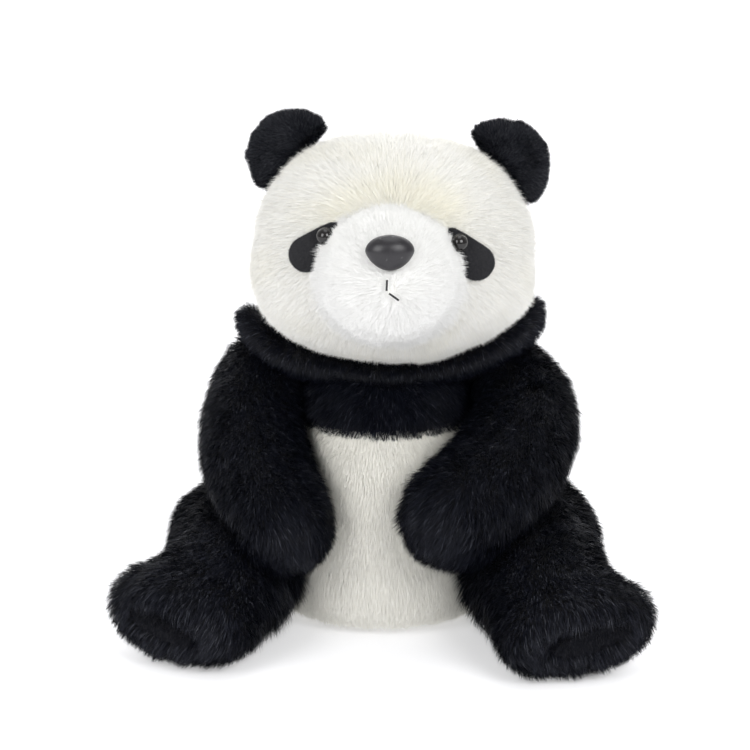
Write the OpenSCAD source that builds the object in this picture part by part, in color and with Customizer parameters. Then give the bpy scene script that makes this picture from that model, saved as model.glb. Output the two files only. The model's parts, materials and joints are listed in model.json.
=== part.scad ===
// Seated plush panda: sewn plush covers over stuffing, with plastic eyes and nose.
// Millimetres, Z up. The panda faces -Y, and the origin is the centre of its flat seat.

/* [Torso] */
// Height of the torso, from the floor to the neck opening
torso_h = 160; // [154:1:164]
// Greatest width of the torso
torso_w = 136; // [130:1:144]
// Greatest depth of the torso, front to back
torso_d = 142; // [132:1:154]
// How far the neck sits behind the middle of the seat
torso_lean = 16; // [8:1:22]
// Height where the black shoulders meet the white belly
yoke_z = 120; // [112:1:126]

/* [Head] */
// Width of the head across the cheeks
head_w = 168; // [158:1:172]
// Height of the head
head_h = 136; // [128:1:144]
// Depth of the head without the muzzle
head_d = 128; // [120:1:136]
// Height of the head's centre above the floor
head_z = 226; // [222:1:230]
// How far the face looks up, in degrees
head_pitch = 9; // [0:1:12]
// How far the head leans to one side, in degrees
head_roll = 2.4; // [0:0.1:4]
// How far the face is turned to its right, in degrees
head_yaw = 2; // [0:0.5:5]
// Radius of the round muzzle where it meets the face
muzzle_r = 40; // [34:1:42]
// How far the muzzle stands out from the head's centre
muzzle_reach = 98; // [90:1:104]
// Width of the nose
nose_w = 29; // [24:1:32]
// Diameter of an eye's dome
eye_d = 10; // [8:0.5:12]
// Radius of an ear's rim
ear_r = 26.5; // [23:0.5:27]

/* [Limbs] */
// Radius of an arm's round shoulder end
shoulder_r = 27; // [25:1:28]
// Radius of a leg's round hip end
hip_r = 42; // [40:1:43]
// Half width of a foot, toe to heel
foot_w = 44; // [38:1:46]
// Angle that a foot's inner side is tipped down
foot_tilt = 14; // [0:1:20]

/* [Sewing] */
// Thickness of a cover: backing cloth and pressed pile
cover_t = 4; // [3:0.5:5]
// Clearance where one limb or the head is let into its neighbour
body_gap = 2.8; // [2.4:0.1:3.2]
// Clearance between pieces of one body
seam_gap = 0.4; // [0.2:0.1:0.6]
// Clearance between a cover and the stuffing in it
stuffing_gap = 2; // [1.6:0.1:2.5]
// Thickness of the felt eye patches
felt_t = 1.6; // [1:0.1:2]
// Diameter of the mouth and closing threads
thread_d = 1.2; // [0.8:0.1:1.6]

/* [Hidden] */
SIDES = 28;       // points round the head
TORSO_SIDES = 36; // points round the torso
LIMB_SIDES = 20;  // points round an arm or a leg
STEP = 0.01;      // path step for finding a direction
fill_gap = cover_t + stuffing_gap;

// Torso levels: share of height, share of lean, share of half width, share of half depth
TORSO = [
  [0.00, 0.00, 0.78, 0.65],
  [0.03, 0.00, 0.90, 0.79],
  [0.10, 0.02, 0.98, 0.92],
  [0.25, 0.10, 1.00, 1.00],
  [0.48, 0.35, 0.97, 1.00],
  [0.67, 0.60, 0.86, 0.90],
  [0.82, 0.85, 0.78, 0.79],
  [0.94, 0.97, 0.69, 0.64],
  [1.00, 1.00, 0.58, 0.50],
];
seat_top = 4;

// Limb paths: x, y, z, then the two radii across the path
ARM_LEFT = [
  [-73, 15, 144, shoulder_r, shoulder_r],
  [-79, -12, 120, 31, 31],
  [-72, -46, 94, 33, 32],
  [-58, -75, 76, 31, 31],
];
ARM_RIGHT = [
  [75, 15, 142, shoulder_r, shoulder_r],
  [86, -16, 124, 32, 32],
  [67, -57, 99, 35, 34],
  [41, -86, 85, 33, 33],
];
LEG_LEFT = [
  [-88, -16, 47, hip_r, hip_r],
  [-94, -50, 42, 38, 38],
  [-103, -77, 36, 32, 36],
  [-117, -98, 31, 28, foot_w],
];
LEG_RIGHT = [
  [89, -16, 48, hip_r, hip_r],
  [95, -56, 42, 38, 39],
  [103, -94, 36, 32, 36],
  [111, -119, 31, 28, foot_w],
];
ARM_REF = [1, 0, 0];
opening_deg = 55;   // angle of a limb cover's open root, from the limb's side
sole_depth = 7;     // how far a sole lies inside its foot
sole_t = 5;

// The neck's pivot, and the ball that the head's underside stays in
NECK = [3, 6, 198];
neck_ball = 53;
neck_r = 20;
neck_foot = 139;

HEAD = [6, -14, head_z];
head_low_n = 2.3;   // squareness of the head's outline below its middle
head_top_n = 2.1;   // and above it
face_n = 2.2;       // squareness of the head in depth
cheek_flare = 0.12; // how much wider the head grows towards the cheeks
face_open = 0.3;    // share of the face that is open behind the muzzle
MUZZLE = [-1, -13];  // centre of the muzzle, across and up from the head's centre
muzzle_n = 2.4;
NOSE = [0, 2.4];
EYE = [36.5, 8];
eye_turn = 21;
PATCH = [48.5, -3]; // centre of an eye patch's round end
PATCH_TIP = [-17, 19]; // its pointed end, from that centre
patch_r = 10.2;
EAR = [58, 3, 49];
ear_tilt = 50;
ear_turn = 12;
ear_t = 14;
ear_len = 30.5;

TAIL = [0, 84, 30];
tail_r = 13;
PELLET_BAG = [0, 8, 5];
bag_w = 34;
bag_d = 42;
bag_h = 27;

function unit(v) = v / norm(v);
function power(x, n) = sign(x) * pow(abs(x), 2 / n);
function reversed(a) = [for (i = [len(a) - 1 : -1 : 0]) a[i]];
function spline(a, b, c, d, t) =
  0.5 * (2 * b + (c - a) * t + (2 * a - 5 * b + 4 * c - d) * t * t
  + (3 * b - a - 3 * c + d) * t * t * t);
function row_at(rows, s) =
  let (n = len(rows) - 1, i = max(min(floor(s), n - 1), 0))
  spline(rows[max(i - 1, 0)], rows[i], rows[i + 1], rows[min(i + 2, n)], s - i);
function xyz(row) = [row[0], row[1], row[2]];

// A point moved out of a ball, so that a soft cover is dented where a round piece sits in it
function pressed(p, c, r) = norm(p - c) < r ? c + unit(p - c) * r : p;
function pressed_all(p, balls, extra, i = 0) =
  i == len(balls) ? p
  : pressed_all(pressed(p, xyz(balls[i]), balls[i][3] + extra), balls, extra, i + 1);

// Balls along a limb that its neighbours are dented by
function limb_balls(path, step = 0.4) = [
  for (s = [0 : step : len(path) - 1]) row_at(path, s)
];
LIMB_DENTS = concat(
  limb_balls(ARM_LEFT), limb_balls(ARM_RIGHT), limb_balls(LEG_LEFT), limb_balls(LEG_RIGHT)
);
TORSO_DENTS = concat(LIMB_DENTS, [[each NECK, neck_ball - body_gap]], reversed(LIMB_DENTS));

// Joins rings of points into one solid. With poles the ends are closed by fans; without,
// the last ring joins the first.
module stack(rings, poles = []) {
  n = len(rings);
  m = len(rings[0]);
  points = concat([for (r = rings) each r], poles);
  last = len(poles) == 2 ? n - 2 : n - 1;
  sides = [
    for (i = [0 : last], j = [0 : m - 1])
      let (k = (j + 1) % m, up = ((i + 1) % n) * m)
      each [[i * m + j, up + j, up + k], [i * m + j, up + k, i * m + k]]
  ];
  ends = len(poles) == 2 ? [
    for (j = [0 : m - 1])
      let (k = (j + 1) % m, top = (n - 1) * m)
      each [[n * m, j, k], [top + j, n * m + 1, top + k]]
  ] : [];
  polyhedron(points, concat(sides, ends));
}

// A curved strip with thickness: each row has points out along it and back along its inside
module strip(rows) {
  n = len(rows);
  m = len(rows[0]);
  half = m / 2;
  top = (n - 1) * m;
  sides = [
    for (i = [0 : n - 2], j = [0 : m - 1])
      let (k = (j + 1) % m, up = (i + 1) * m)
      each [[i * m + j, up + j, up + k], [i * m + j, up + k, i * m + k]]
  ];
  ends = [
    for (j = [0 : half - 2])
      each [
        [j, j + 1, m - 2 - j], [j, m - 2 - j, m - 1 - j],
        [top + j, top + m - 2 - j, top + j + 1], [top + j, top + m - 1 - j, top + m - 2 - j]
      ]
  ];
  polyhedron([for (r = rows) each r], concat(sides, ends));
}

// ---- torso ----
function torso_row(z) =
  let (
    i = max([for (k = [0 : len(TORSO) - 2]) TORSO[k][0] * torso_h <= z ? k : 0]),
    t = (z / torso_h - TORSO[i][0]) / (TORSO[i + 1][0] - TORSO[i][0])
  )
  row_at(TORSO, i + t);
function torso_point(z, a, inset) =
  let (
    row = torso_row(z),
    p = [
      (row[2] * torso_w / 2 - inset) * cos(a),
      row[1] * torso_lean + (row[3] * torso_d / 2 - inset) * sin(a),
      z
    ]
  )
  pressed_all(p, TORSO_DENTS, body_gap + inset);
function torso_ring(z, inset) = [
  for (j = [0 : TORSO_SIDES - 1]) torso_point(z, 360 * j / TORSO_SIDES, inset)
];
function torso_strip(z, from, to, cols) = concat(
  [for (j = [0 : cols]) torso_point(z, from + (to - from) * j / cols, 0)],
  [for (j = [cols : -1 : 0]) torso_point(z, from + (to - from) * j / cols, cover_t)]
);

// A torso panel between two heights and two angles round the body
module torso_panel(low, high, from, to, rows) {
  seam_deg = 0.6;
  strip([
    for (i = [0 : rows])
      torso_strip(low + (high - low) * i / rows, from + seam_deg, to - seam_deg, TORSO_SIDES / 2)
  ]);
}

module chest_panel() {
  color("black") torso_panel(yoke_z + seam_gap, torso_h, 180, 360, 4);
}

module shoulder_back_panel() {
  color("black") torso_panel(yoke_z + seam_gap, torso_h, 0, 180, 4);
}

module belly_panel() {
  color("ivory") torso_panel(seat_top + seam_gap, yoke_z, 180, 360, 10);
}

module back_panel() {
  color("ivory") torso_panel(seat_top + seam_gap, yoke_z, 0, 180, 10);
}

module seat_panel() {
  color("ivory") stack(
    [for (z = [0, seat_top / 2, seat_top]) torso_ring(z, 0)],
    [[0, 0, 0], [0, 0, seat_top]]
  );
}

// Fibre stuffing of the torso, above the pellet bag
module torso_stuffing() {
  low = PELLET_BAG[2] + bag_h + 3;
  high = neck_foot - 1;
  rows = 8;
  color("white") stack(
    [for (i = [0 : rows]) torso_ring(low + (high - low) * i / rows, fill_gap)],
    [[0, 0, low], [0, torso_lean, high]]
  );
}

// A level of the pellet bag, which is a flat cushion
function bag_ring(a, inset) = [
  for (j = [0 : LIMB_SIDES - 1])
    let (b = 360 * j / LIMB_SIDES)
    PELLET_BAG + [
      (bag_w - inset) * power(cos(a), 3) * cos(b),
      (bag_d - inset) * power(cos(a), 3) * sin(b),
      bag_h / 2 + (bag_h / 2 - inset) * power(sin(a), 3)
    ]
];
bag_cloth = 0.8;

module bag_half(side) {
  mid = PELLET_BAG + [0, 0, bag_h / 2];
  levels = [4, 25, 45, 65, 80];
  inner = [for (a = levels) bag_ring(side * a, bag_cloth)];
  outer = [for (a = levels) bag_ring(side * a, 0)];
  rings = concat(reversed(inner), outer);
  poles = [mid + [0, 0, side * (bag_h / 2 - bag_cloth)], mid + [0, 0, side * bag_h / 2]];
  if (side > 0) stack(rings, poles);
  if (side < 0) mirrored_stack(rings, poles);
}

module pellet_bag() {
  color("lightgray") bag_half(1);
  color("lightgray") bag_half(-1);
}

// The bag's plastic pellets, as one mass
module pellets() {
  inset = bag_cloth + seam_gap;
  mid = PELLET_BAG + [0, 0, bag_h / 2];
  color("gainsboro") stack(
    [for (a = [-75, -50, -25, 0, 25, 50, 75]) bag_ring(a, inset)],
    [mid - [0, 0, bag_h / 2 - inset], mid + [0, 0, bag_h / 2 - inset]]
  );
}

// Ladder stitches that close the back after stuffing
module closing_stitches() {
  count = 9;
  length = 5;
  color("white") for (i = [0 : count - 1])
    let (z = 50 + 6 * i, p = torso_point(z, 90, 0))
    translate(p + [-length / 2, thread_d / 2 + seam_gap, 0])
    rotate([0, 90, 0])
    cylinder(h = length, d = thread_d, $fn = 16);
}

// ---- limbs ----
function ring(c, t, ref, a, b, sides) =
  let (u = unit(ref - (ref * t) * t), v = cross(t, u))
  [for (j = [0 : sides - 1]) let (w = 360 * j / sides) c + a * cos(w) * u + b * sin(w) * v];
function heading(path, s) =
  let (n = len(path) - 1, lo = max(s - STEP, 0), hi = min(s + STEP, n))
  unit(xyz(row_at(path, hi)) - xyz(row_at(path, lo)));
function dented(points, balls, extra) = [for (p = points) pressed_all(p, balls, extra)];

function root_rings(path, ref, inset, angles) =
  let (p = path[0], t = heading(path, 0))
  [for (a = angles) ring(
    xyz(p) - t * (p[3] - inset) * sin(a), t, ref,
    (p[3] - inset) * cos(a), (p[4] - inset) * cos(a), LIMB_SIDES
  )];
function body_rings(path, ref, inset, rings, last) = [
  for (i = [0 : rings])
    let (s = last * i / rings, p = row_at(path, s))
    ring(xyz(p), heading(path, s), ref, p[3] - inset, p[4] - inset, LIMB_SIDES)
];
function tip_rings(path, ref, inset, angles) =
  let (n = len(path) - 1, p = path[n], t = heading(path, n), reach = min(p[3], p[4]) - inset)
  [for (a = angles) ring(
    xyz(p) + t * reach * sin(a), t, ref,
    (p[3] - inset) * cos(a), (p[4] - inset) * cos(a), LIMB_SIDES
  )];
function tip_pole(path, inset) =
  let (n = len(path) - 1, p = path[n])
  xyz(p) + heading(path, n) * (min(p[3], p[4]) - inset);
function root_pole(path, inset) = xyz(path[0]) - heading(path, 0) * (path[0][3] - inset);

ROOT_OPEN = [opening_deg, opening_deg * 2 / 3, opening_deg / 3];
ROOT_CLOSED = concat([75], ROOT_OPEN);
TIP = [20, 40, 60, 78];

thigh_gap = body_gap + seam_gap;

// An arm's surface rings from its open shoulder to its paw, dented by the thigh below it
function arm_rings(path, thigh, inset, root) = [
  for (r = concat(
    root_rings(path, ARM_REF, inset, root),
    body_rings(path, ARM_REF, inset, 8, len(path) - 1),
    tip_rings(path, ARM_REF, inset, TIP)
  )) dented(r, thigh, thigh_gap + inset)
];

module arm_cover(path, thigh) {
  color("black") stack(
    concat(reversed(arm_rings(path, thigh, cover_t, ROOT_OPEN)),
      arm_rings(path, thigh, 0, ROOT_OPEN)),
    [tip_pole(path, cover_t), tip_pole(path, 0)]
  );
}

module arm_stuffing(path, thigh) {
  color("white") stack(
    arm_rings(path, thigh, fill_gap, ROOT_CLOSED),
    [root_pole(path, fill_gap), tip_pole(path, fill_gap)]
  );
}

module arm_left_cover() { arm_cover(ARM_LEFT, limb_balls(LEG_LEFT)); }

module arm_left_stuffing() { arm_stuffing(ARM_LEFT, limb_balls(LEG_LEFT)); }

module arm_right_cover() { arm_cover(ARM_RIGHT, limb_balls(LEG_RIGHT)); }

module arm_right_stuffing() { arm_stuffing(ARM_RIGHT, limb_balls(LEG_RIGHT)); }

// A leg's upward direction, leaning towards the other leg
function leg_ref(path) = [-sign(path[0][0]) * sin(foot_tilt), 0, cos(foot_tilt)];
function leg_rings(path, inset, root) = concat(
  root_rings(path, leg_ref(path), inset, root),
  body_rings(path, leg_ref(path), inset, 9, len(path) - 1)
);
// The foot's rim curves in towards the sole
function foot_rings(path, inset, angles) =
  let (n = len(path) - 1, p = path[n], t = heading(path, n))
  [for (a = angles) ring(
    xyz(p) + t * p[3] * foot_reach * sin(a), t, leg_ref(path),
    p[3] * (rim_h + (1 - rim_h) * cos(a)) - inset,
    p[4] * (rim_w + (1 - rim_w) * cos(a)) - inset, LIMB_SIDES
  )];
FOOT = [30, 60, 90];
foot_reach = 0.75; // how far a foot goes past its leg's last point, as a share of its height
rim_h = 0.45;      // share of the foot's height, and of its width, that the sole's rim has
rim_w = 0.6;

// A leg's cover is open at the hip and round the sole
module leg_cover(path) {
  outer = concat(leg_rings(path, 0, ROOT_OPEN), foot_rings(path, 0, FOOT));
  inner = concat(leg_rings(path, cover_t, ROOT_OPEN), foot_rings(path, cover_t, FOOT));
  color("black") stack(concat(outer, reversed(inner)));
}

// Where a sole starts, measured along the leg from its last path point
function sole_start(path) = path[len(path) - 1][3] * foot_reach - sole_depth;

module leg_stuffing(path) {
  n = len(path) - 1;
  t = heading(path, n);
  end = xyz(path[n]) + t * (sole_start(path) - seam_gap);
  last = foot_rings(path, fill_gap, [30, 42]);
  color("white") stack(
    concat(leg_rings(path, fill_gap, ROOT_CLOSED), last),
    [root_pole(path, fill_gap), end]
  );
}

module sole(path) {
  n = len(path) - 1;
  t = heading(path, n);
  start = xyz(path[n]) + t * sole_start(path);
  spare = 0.05; // the rim is this much wider at the sole than at its end
  bevel = 1.5;
  crown = 1;
  a = path[n][3] * (rim_h + spare) - fill_gap;
  b = path[n][4] * (rim_w + spare) - fill_gap;
  color("dimgray") stack(
    [for (k = [0, 0.5, 1])
      ring(start + t * sole_t * k, t, leg_ref(path), a - bevel * k, b - bevel * k, LIMB_SIDES)],
    [start, start + t * (sole_t + crown)]
  );
}

module leg_left_cover() { leg_cover(LEG_LEFT); }

module leg_left_stuffing() { leg_stuffing(LEG_LEFT); }

module sole_left() { sole(LEG_LEFT); }

module leg_right_cover() { leg_cover(LEG_RIGHT); }

module leg_right_stuffing() { leg_stuffing(LEG_RIGHT); }

module sole_right() { sole(LEG_RIGHT); }

// A short stuffed tail with a round root
TAIL_PATH = [[each TAIL, tail_r, tail_r], [each TAIL + [0, 10, -5], tail_r, tail_r]];
function tail_rings(inset, root) = concat(
  root_rings(TAIL_PATH, ARM_REF, inset, root),
  body_rings(TAIL_PATH, ARM_REF, inset, 2, 1),
  tip_rings(TAIL_PATH, ARM_REF, inset, TIP)
);

module tail_cover() {
  color("ivory") stack(
    concat(reversed(tail_rings(cover_t, ROOT_OPEN)), tail_rings(0, ROOT_OPEN)),
    [tip_pole(TAIL_PATH, cover_t), tip_pole(TAIL_PATH, 0)]
  );
}

module tail_stuffing() {
  color("white") stack(
    tail_rings(fill_gap, ROOT_CLOSED),
    [root_pole(TAIL_PATH, fill_gap), tip_pole(TAIL_PATH, fill_gap)]
  );
}

// ---- head, in its own frame: X across, Z up, the face towards -Y ----
module head_frame() {
  translate(HEAD) rotate([-head_pitch, head_roll, -head_yaw]) children();
}

function head_size(inset) = [head_w / 2 - inset, head_d / 2 - inset, head_h / 2 - inset];
// The head's ring where it has share s of its full outline
function head_ring(s, side, inset) =
  let (e = head_size(inset), y = side * e[1] * pow(1 - pow(s, face_n), 1 / face_n))
  [for (j = [0 : SIDES - 1])
    let (
      a = 360 * j / SIDES,
      n = sin(a) < 0 ? head_low_n : head_top_n,
      z = e[2] * s * power(sin(a), n),
      w = e[0] * (1 - cheek_flare * z / e[2])
    )
    [w * s * power(cos(a), n), y, z]];
// Depth of the face below a point across and up
function face_y(x, z, inset) =
  let (
    e = head_size(inset),
    n = z < 0 ? head_low_n : head_top_n,
    w = e[0] * (1 - cheek_flare * z / e[2]),
    s = pow(pow(abs(x) / w, n) + pow(abs(z) / e[2], n), 1 / n)
  )
  -e[1] * pow(max(1 - pow(s, face_n), 0), 1 / face_n);

HEAD_LEVELS = [1, 0.97, 0.89, 0.77, 0.62, 0.45];

module head_front_cover() {
  levels = concat([0.998], [for (k = [1 : 5]) HEAD_LEVELS[k]], [face_open]);
  outer = [for (s = levels) head_ring(s, -1, 0)];
  inner = [for (s = levels) head_ring(s, -1, cover_t)];
  color("white") head_frame() stack(concat(reversed(inner), outer));
}

module head_back_cover() {
  levels = concat(HEAD_LEVELS, [0.25]);
  outer = [for (s = levels) head_ring(s, 1, 0)];
  inner = [for (s = levels) head_ring(s, 1, cover_t)];
  color("white") head_frame()
    mirrored_stack(concat(reversed(inner), outer),
      [[0, head_d / 2 - cover_t, 0], [0, head_d / 2, 0]]);
}

// A stack whose rings run the other way round
module mirrored_stack(rings, poles) {
  stack([for (r = rings) reversed(r)], poles);
}

module head_stuffing() {
  back = [for (s = [0.3, 0.6, 0.8, 0.93]) head_ring(s, 1, fill_gap)];
  front = [for (s = [1, 0.93, 0.8, 0.6, 0.3]) head_ring(s, -1, fill_gap)];
  color("white") head_frame()
    stack(concat(back, front),
      [[0, head_d / 2 - fill_gap, 0], [0, fill_gap - head_d / 2, 0]]);
}

// The muzzle's ring at an angle up its dome, from the face at 0 to its front at 90
function muzzle_point(a, b, inset, lift) =
  let (
    r = (muzzle_r - inset) * power(cos(a), muzzle_n),
    rim = muzzle_r - inset,
    y0 = face_y(MUZZLE[0] + rim * cos(b), MUZZLE[1] + rim * sin(b), 0) - lift,
    k = power(sin(a), muzzle_n)
  )
  [MUZZLE[0] + r * cos(b), y0 * (1 - k) - (muzzle_reach - inset) * k, MUZZLE[1] + r * sin(b)];
function muzzle_ring(a, inset, lift) = [
  for (j = [0 : SIDES - 1]) muzzle_point(a, 360 * j / SIDES, inset, lift)
];
// Depth of the muzzle's front below a point across and up
function muzzle_y(x, z) =
  let (
    q = [x - MUZZLE[0], z - MUZZLE[1]],
    a = acos(min(pow(norm(q) / muzzle_r, muzzle_n / 2), 1))
  )
  muzzle_point(a, atan2(q[1], q[0]), 0, seam_gap)[1];
MUZZLE_LEVELS = [0, 12, 26, 42, 58, 74];

module muzzle_cover() {
  outer = [for (a = MUZZLE_LEVELS) muzzle_ring(a, 0, seam_gap)];
  inner = [for (a = MUZZLE_LEVELS) muzzle_ring(a, cover_t, seam_gap)];
  color("white") head_frame()
    stack(concat(reversed(inner), outer),
      [[MUZZLE[0], cover_t - muzzle_reach, MUZZLE[1]], [MUZZLE[0], -muzzle_reach, MUZZLE[1]]]);
}

// A ring on the face inside the muzzle, a share of the way out to its rim
function muzzle_base(k, inset, lift) = [
  for (j = [0 : SIDES - 1])
    let (
      b = 360 * j / SIDES,
      r = k * (muzzle_r - inset),
      x = MUZZLE[0] + r * cos(b),
      z = MUZZLE[1] + r * sin(b)
    )
    [x, face_y(x, z, 0) - lift, z]
];

module muzzle_stuffing() {
  levels = [0, 12, 26, 42, 58, 74];
  base = [for (k = [0.3, 0.6, 0.85]) muzzle_base(k, fill_gap, 2 * seam_gap)];
  color("white") head_frame()
    stack(concat(base, [for (a = levels) muzzle_ring(a, fill_gap, 2 * seam_gap)]),
      [[MUZZLE[0], face_y(MUZZLE[0], MUZZLE[1], 0) - 2 * seam_gap, MUZZLE[1]],
        [MUZZLE[0], fill_gap - muzzle_reach, MUZZLE[1]]]);
}

// A patch's outline: a round end and a blunt point, from its centre
function patch_outline(side, k) = [
  for (j = [0 : 23])
    let (
      a = 360 * j / 24,
      along = unit(PATCH_TIP),
      across = [along[1], -along[0]],
      near = max(cos(a), 0),
      reach = patch_r + (norm(PATCH_TIP) - patch_r) * pow(near, 3)
    )
    let (q = PATCH + k * (along * reach * cos(a) + across * patch_r * sin(a)))
    [side * q[0], q[1]]
];
function patch_ring(side, k, lift) = [
  for (q = patch_outline(side, k)) [q[0], face_y(q[0], q[1], 0) - lift, q[1]]
];
module eye_patch(side) {
  low = seam_gap;
  high = seam_gap + felt_t;
  levels = [0.35, 0.7, 1];
  rings = concat([for (k = levels) patch_ring(side, k, low)],
    [for (k = reversed(levels)) patch_ring(side, k, high)]);
  centre = [side * PATCH[0], face_y(PATCH[0], PATCH[1], 0), PATCH[1]];
  poles = [centre - [0, low, 0], centre - [0, high, 0]];
  color("black") head_frame() {
    if (side > 0) mirrored_stack(rings, poles);
    if (side < 0) stack(rings, poles);
  }
}

module eye_patch_left() { eye_patch(-1); }

module eye_patch_right() { eye_patch(1); }

// Places what stands on the face at an eye, its own Z pointing out of the face
module at_eye(side) {
  head_frame()
    translate([side * EYE[0], face_y(EYE[0], EYE[1], 0), EYE[1]])
    rotate([0, 0, side * eye_turn])
    rotate([90, 0, 0])
    children();
}
shank_d = 4;
shank_l = 14;
washer_d = 15;
washer_t = 1.6;
eye_lift = seam_gap * 2 + felt_t + 1;
eye_washer_z = -cover_t - 2 - washer_t;
washer_fit = 0.1; // a washer's bore is this much wider than the shank
rim_t = 1;        // an eye's rim, and how far its dome is set in from it
rim_step = 0.3;

// A safety eye: domed front, thin rim and shank
module eye(side) {
  color("black") at_eye(side) {
    translate([0, 0, eye_lift]) {
      cylinder(h = rim_t, d = eye_d, $fn = 48);
      translate([0, 0, rim_t])
        rotate_extrude($fn = 48)
        intersection() {
          circle(d = eye_d - 2 * rim_step, $fn = 48);
          square([eye_d, eye_d]);
        }
    }
    translate([0, 0, eye_lift - shank_l]) cylinder(h = shank_l, d = shank_d, $fn = 32);
  }
}

module eye_left() { eye(-1); }

module eye_right() { eye(1); }

module shank_washer(bore, outer) {
  color("lightgray") difference() {
    cylinder(h = washer_t, d = outer, $fn = 48);
    translate([0, 0, -1]) cylinder(h = washer_t + 2, d = bore + washer_fit, $fn = 32);
  }
}

module eye_washer_left() {
  at_eye(-1) translate([0, 0, eye_washer_z]) shank_washer(shank_d, washer_d);
}

module eye_washer_right() {
  at_eye(1) translate([0, 0, eye_washer_z]) shank_washer(shank_d, washer_d);
}

module at_nose() {
  head_frame()
    translate([NOSE[0], muzzle_y(NOSE[0], NOSE[1]), NOSE[1]])
    rotate([90 - nose_tip_deg, 0, 0])
    children();
}
nose_h = nose_w * 0.76;
nose_tip_deg = 12; // how far the nose faces upwards
nose_depth = 9;
nose_shank_d = 6;
nose_shank_l = 16;
nose_lift = 1;
nose_washer_z = -cover_t - 4 - washer_t;
nose_washer_d = 18;

// The moulded nose: a wide dome with a shank
module nose() {
  color("dimgray") at_nose() {
    translate([0, 0, nose_lift])
      intersection() {
        scale([nose_w / 2, nose_h / 2, nose_depth]) sphere(r = 1, $fn = 48);
        translate([-nose_w, -nose_w, 0]) cube([2 * nose_w, 2 * nose_w, nose_w]);
      }
    translate([0, 0, nose_lift - nose_shank_l])
      cylinder(h = nose_shank_l + 1, d = nose_shank_d, $fn = 32);
  }
}

module nose_washer() {
  at_nose() translate([0, 0, nose_washer_z]) shank_washer(nose_shank_d, nose_washer_d);
}

MOUTH = [[-1, -13], [-1, -19], [0.5, -20.4], [6, -24]];

// Mouth threads on the muzzle: one straight down, one short and slanting
module mouth_stitch(a, b) {
  p = [a[0], muzzle_y(a[0], a[1]) - thread_d / 2 - seam_gap, a[1]];
  q = [b[0], muzzle_y(b[0], b[1]) - thread_d / 2 - seam_gap, b[1]];
  d = q - p;
  translate(p)
    rotate([0, acos(d[2] / norm(d)), atan2(d[1], d[0])])
    cylinder(h = norm(d), d = thread_d, $fn = 16);
}

module mouth_stitches() {
  color("black") head_frame() {
    mouth_stitch(MOUTH[0], MOUTH[1]);
    mouth_stitch(MOUTH[2], MOUTH[3]);
  }
}

// ---- ears ----
module at_ear(side) {
  head_frame()
    translate([side * EAR[0], EAR[1], EAR[2]])
    rotate([0, side * ear_tilt, 0])
    rotate([0, 0, side * ear_turn])
    children();
}
ear_foot = 3;
ear_split = 0.1;    // half the gap between an ear's two halves
ear_foot_w = 0.5;   // share of an ear's width where its flat side's middle points stand
function ear_half_w(z) =
  let (c = ear_len - ear_r) sqrt(max(pow(ear_r, 2) - pow(max(z - c, 0), 2), 0.01));
function ear_row(z, from) =
  let (w = ear_half_w(z), t = ear_t / 2 * pow(w / ear_r, 0.6), face = from < 90 ? 1 : -1)
  concat(
    [for (j = [0 : 8]) let (a = from + 180 * j / 8) [w * cos(a), t * sin(a) + face * ear_split, z]],
    [for (k = [ear_foot_w, -ear_foot_w]) [-face * k * w, face * ear_split, z]]
  );

// Half of an ear: a domed panel of plush, its flat side against the other half
module ear_half(side, from) {
  top = ear_len - seam_gap;
  zs = [for (i = [0 : 7]) ear_foot + (top - ear_foot) * sin(90 * i / 7)];
  face = from < 90 ? 1 : -1;
  color("black") at_ear(side)
    stack([for (z = zs) ear_row(z, from)], [[0, 2 * face, ear_foot], [0, face / 2, ear_len]]);
}

module ear_left_front() { ear_half(-1, 180); }

module ear_left_back() { ear_half(-1, 0); }

module ear_right_front() { ear_half(1, 180); }

module ear_right_back() { ear_half(1, 0); }

// The wad of stuffing that the head sits on, with a hollow top that the head rocks in
module neck_stuffing() {
  color("white") difference() {
    translate([NECK[0], NECK[1], neck_foot]) cylinder(h = NECK[2] - neck_foot, r = neck_r, $fn = 64);
    translate(NECK) sphere(r = neck_ball, $fn = 96);
  }
}

chest_panel();
shoulder_back_panel();
belly_panel();
back_panel();
seat_panel();
torso_stuffing();
pellet_bag();
pellets();
closing_stitches();
tail_cover();
tail_stuffing();
neck_stuffing();
head_front_cover();
head_back_cover();
head_stuffing();
muzzle_cover();
muzzle_stuffing();
eye_patch_left();
eye_patch_right();
eye_left();
eye_right();
eye_washer_left();
eye_washer_right();
nose();
nose_washer();
mouth_stitches();
ear_left_front();
ear_left_back();
ear_right_front();
ear_right_back();
arm_left_cover();
arm_left_stuffing();
arm_right_cover();
arm_right_stuffing();
leg_left_cover();
leg_left_stuffing();
sole_left();
leg_right_cover();
leg_right_stuffing();
sole_right();
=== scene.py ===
"""Looks of the plush panda: sewn skins, fur, felt, plastic eyes and nose, and filling, on the CAD frame."""

import json
import math

import bmesh
import bpy
import numpy as np
from mathutils import Matrix, Vector
from mathutils.bvhtree import BVHTree


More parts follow.
